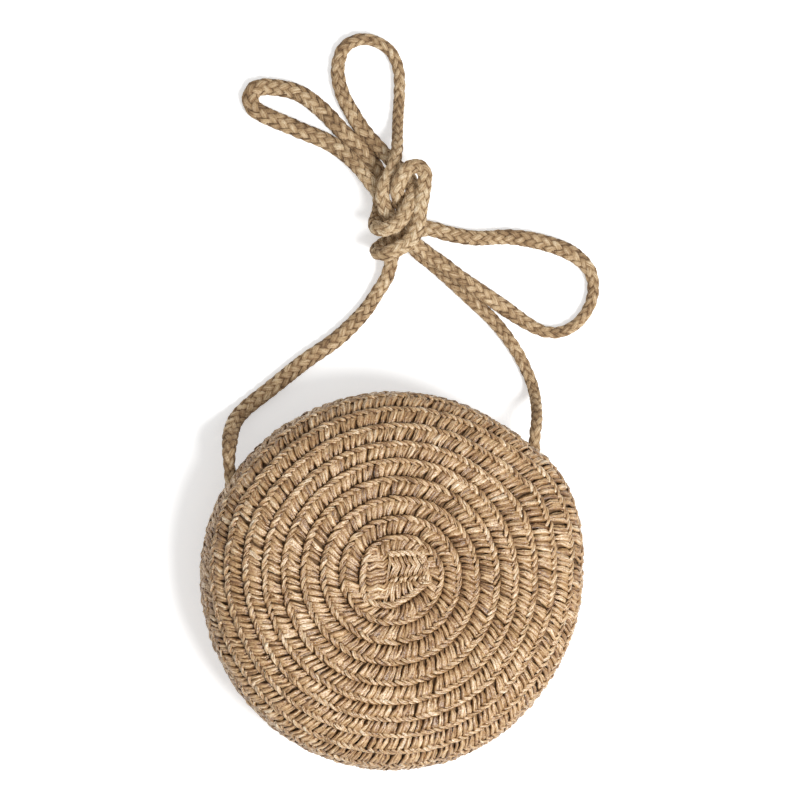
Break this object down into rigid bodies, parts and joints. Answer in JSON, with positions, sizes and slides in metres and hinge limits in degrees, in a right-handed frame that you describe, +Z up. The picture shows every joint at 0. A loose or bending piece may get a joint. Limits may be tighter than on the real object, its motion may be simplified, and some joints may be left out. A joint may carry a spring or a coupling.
{
  "type": "straw crossbody bag",
  "caption": "Round crossbody bag of spirally sewn paper straw braid with a curved top zip and a braided rope strap tied in a looped knot",
  "frame": {"origin": "middle of the bag body on the surface it lies on, strap left out", "axes": "+Z is up out of the front panel, +Y points to the zipped mouth and the strap, +X to the right of the front panel"},
  "size_m": [0.2054, 0.3529, 0.052],
  "materials": {
    "straw_braid": "matte paper straw braid, sewn in a spiral",
    "lining": "plain woven cotton",
    "zip_tape": "fine woven tape",
    "zip_coil": "satin nylon coil",
    "zip_metal": "light antique brass",
    "rope": "braided cotton and jute rope, slightly fuzzy",
    "whipping": "wound thread"
  },
  "bodies": {
    "bag": {"front_shell": "straw_braid", "back_shell": "straw_braid", "front_lining": "lining", "back_lining": "lining", "zip_tape_front": "zip_tape", "zip_tape_back": "zip_tape", "zip_coil_front": "zip_coil", "zip_coil_back": "zip_coil", "zip_top_stop_front": "zip_metal", "zip_top_stop_back": "zip_metal", "zip_bottom_stop": "zip_metal", "strap_end_left": "rope", "strap_end_right": "rope", "strap_whipping_left": "whipping", "strap_whipping_right": "whipping"},
    "slider": {"zip_slider": "zip_metal"},
    "pull": {"zip_pull": "zip_metal"},
    "strap": {"strap_rope": "rope"}
  },
  "joints": [
    {"name": "zip_travel", "type": "hinge", "parent": "bag", "child": "slider", "pos_m": [0, 0, 0.026], "axis": [0, 0, 1], "range_deg": [0, 75]},
    {"name": "pull_swing", "type": "hinge", "parent": "slider", "child": "pull", "pos_m": [0.05345, 0.06947, 0.026], "axis": [0, 0, -1], "range_deg": [0, 180]},
    {"name": "strap_swing", "type": "hinge", "parent": "bag", "child": "strap", "pos_m": [0, 0.05833, 0.026], "axis": [1, 0, 0], "range_deg": [0, 90]}
  ]
}
